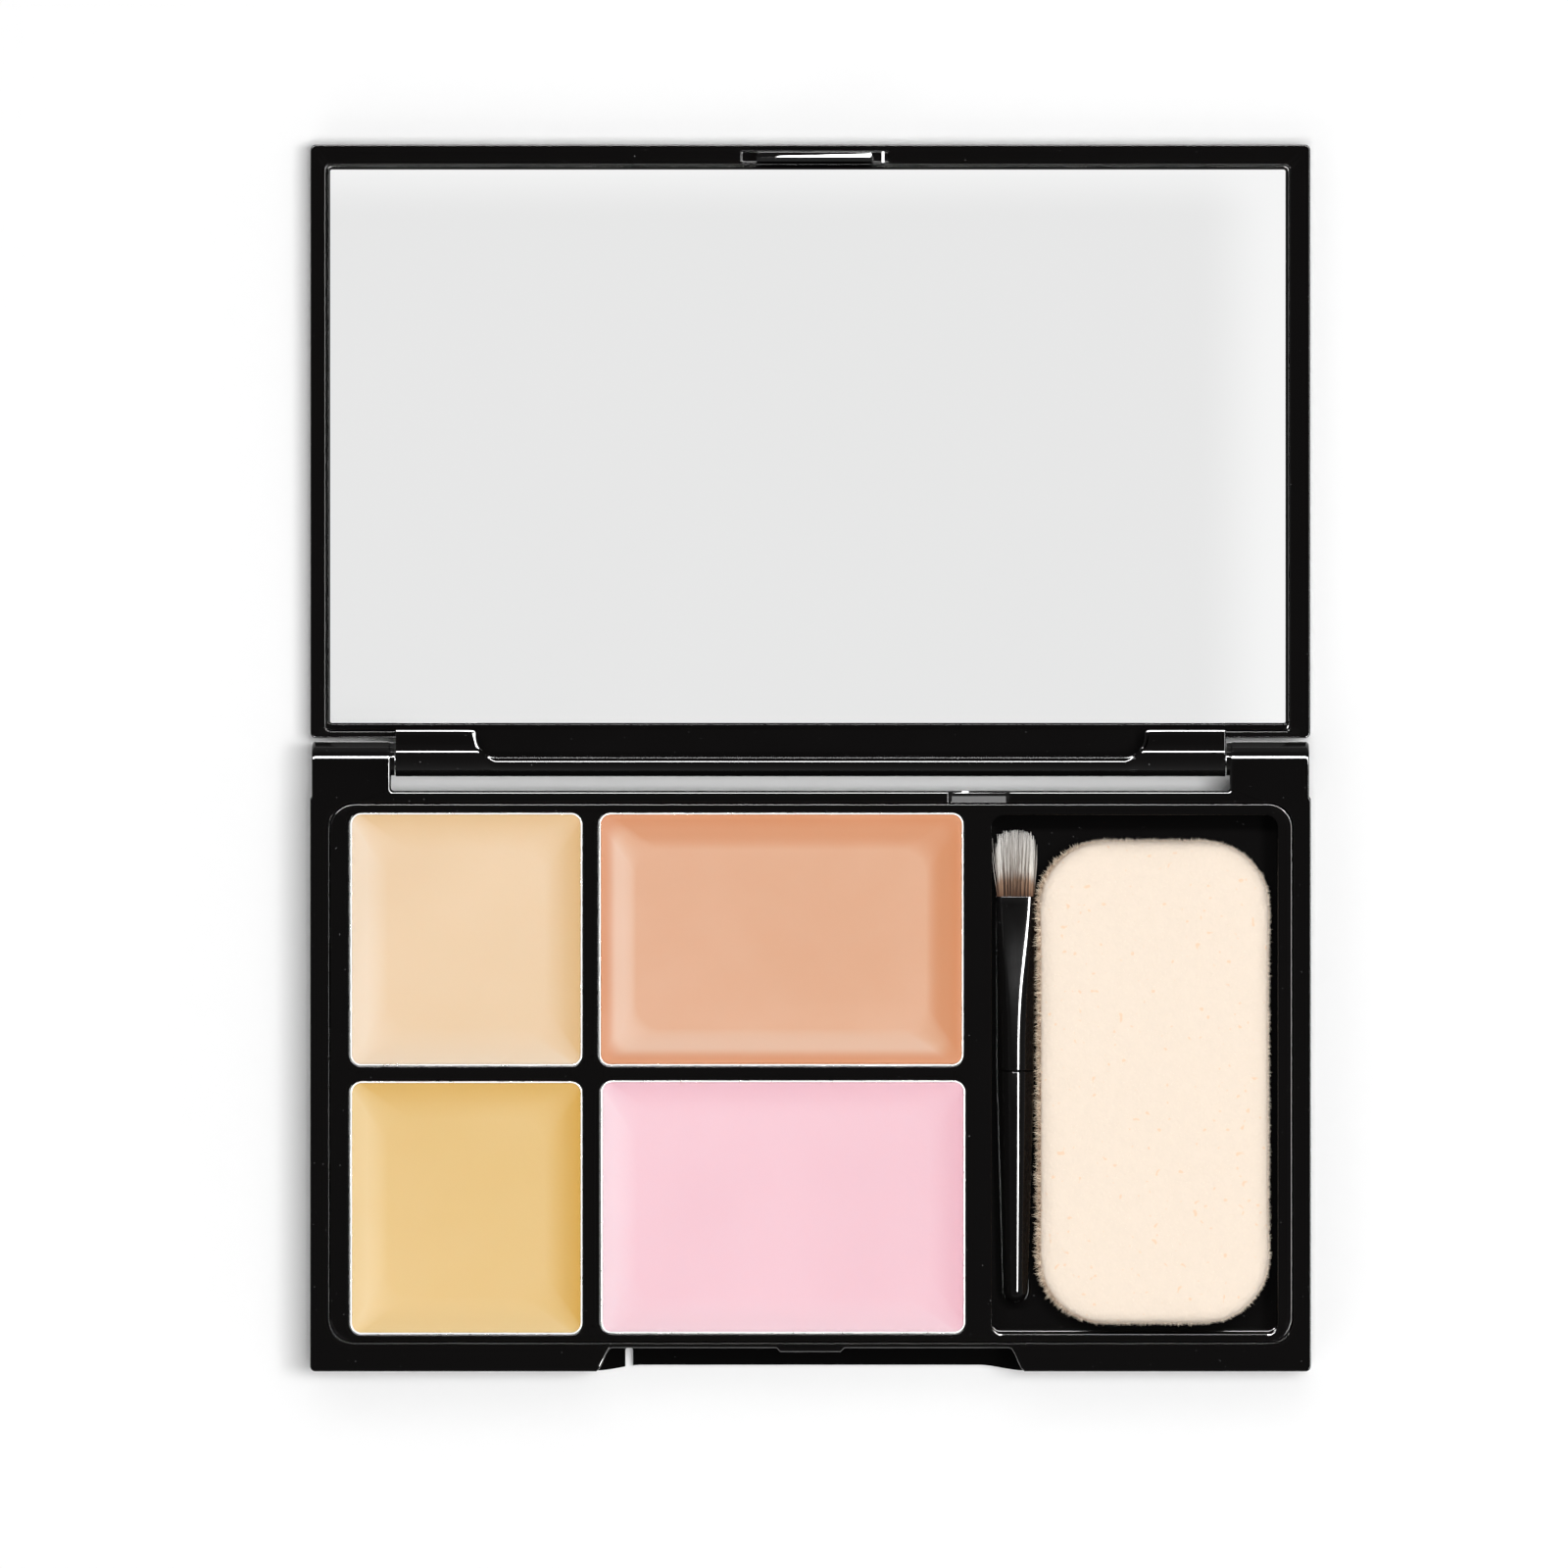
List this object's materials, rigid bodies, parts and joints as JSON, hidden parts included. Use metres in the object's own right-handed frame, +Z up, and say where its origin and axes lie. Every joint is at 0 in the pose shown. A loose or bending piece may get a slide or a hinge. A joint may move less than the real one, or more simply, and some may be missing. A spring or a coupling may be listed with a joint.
{
  "type": "cream makeup compact",
  "caption": "Flat rectangular hinged makeup compact, opened flat: mirror lid, pans of cream in an inner tray, and a bay with a small brush and a flocked puff.",
  "frame": {"origin": "centre of the base's underside, on the plane the open case rests on", "axes": "+Z up, +Y from the front edge of the base towards the hinge and the open lid, +X to the right"},
  "size_m": [0.115, 0.141, 0.009],
  "materials": {
    "case_black": "high gloss black",
    "tray_black": "gloss black",
    "pin_steel": "drawn wire",
    "label_paper": "blank matt label",
    "pan_aluminium": "bright pressed sheet",
    "cream_beige": "satin cream make-up",
    "cream_peach": "satin cream make-up",
    "cream_yellow": "satin cream make-up",
    "cream_pink": "satin cream make-up",
    "adhesive": "soft adhesive film",
    "mirror_silver": "silvered glass",
    "brush_hair": "two-tone synthetic hair",
    "ferrule_black": "gloss black lacquer on pressed tube",
    "handle_black": "gloss black",
    "puff_foam": "soft foam",
    "puff_velour": "flocked velour"
  },
  "bodies": {
    "base": {"base_shell": "case_black", "tray_insert": "tray_black", "hinge_pin_left": "pin_steel", "hinge_pin_right": "pin_steel", "underside_label": "label_paper", "pan_beige": "pan_aluminium", "pan_peach": "pan_aluminium", "pan_yellow": "pan_aluminium", "pan_pink": "pan_aluminium", "cream_beige": "cream_beige", "cream_peach": "cream_peach", "cream_yellow": "cream_yellow", "cream_pink": "cream_pink", "glue_beige": "adhesive", "glue_peach": "adhesive", "glue_yellow": "adhesive", "glue_pink": "adhesive"},
    "lid": {"lid_shell": "case_black", "mirror_carrier": "tray_black", "mirror_tape": "adhesive", "mirror_glass": "mirror_silver"},
    "brush": {"brush_bristles": "brush_hair", "brush_ferrule": "ferrule_black", "brush_handle": "handle_black"},
    "puff": {"puff_core": "puff_foam", "puff_velour_top": "puff_velour", "puff_velour_bottom": "puff_velour"}
  },
  "joints": [
    {"name": "lid_hinge", "type": "hinge", "parent": "base", "child": "lid", "pos_m": [0, 0.03702, 0.007], "axis": [1, 0, 0], "range_deg": [0, 180]},
    {"name": "brush_lift", "type": "slide", "parent": "base", "child": "brush", "axis": [0, 0, 1], "range_m": [0, 0.04]},
    {"name": "puff_lift", "type": "slide", "parent": "base", "child": "puff", "axis": [0, 0, 1], "range_m": [0, 0.04]}
  ]
}
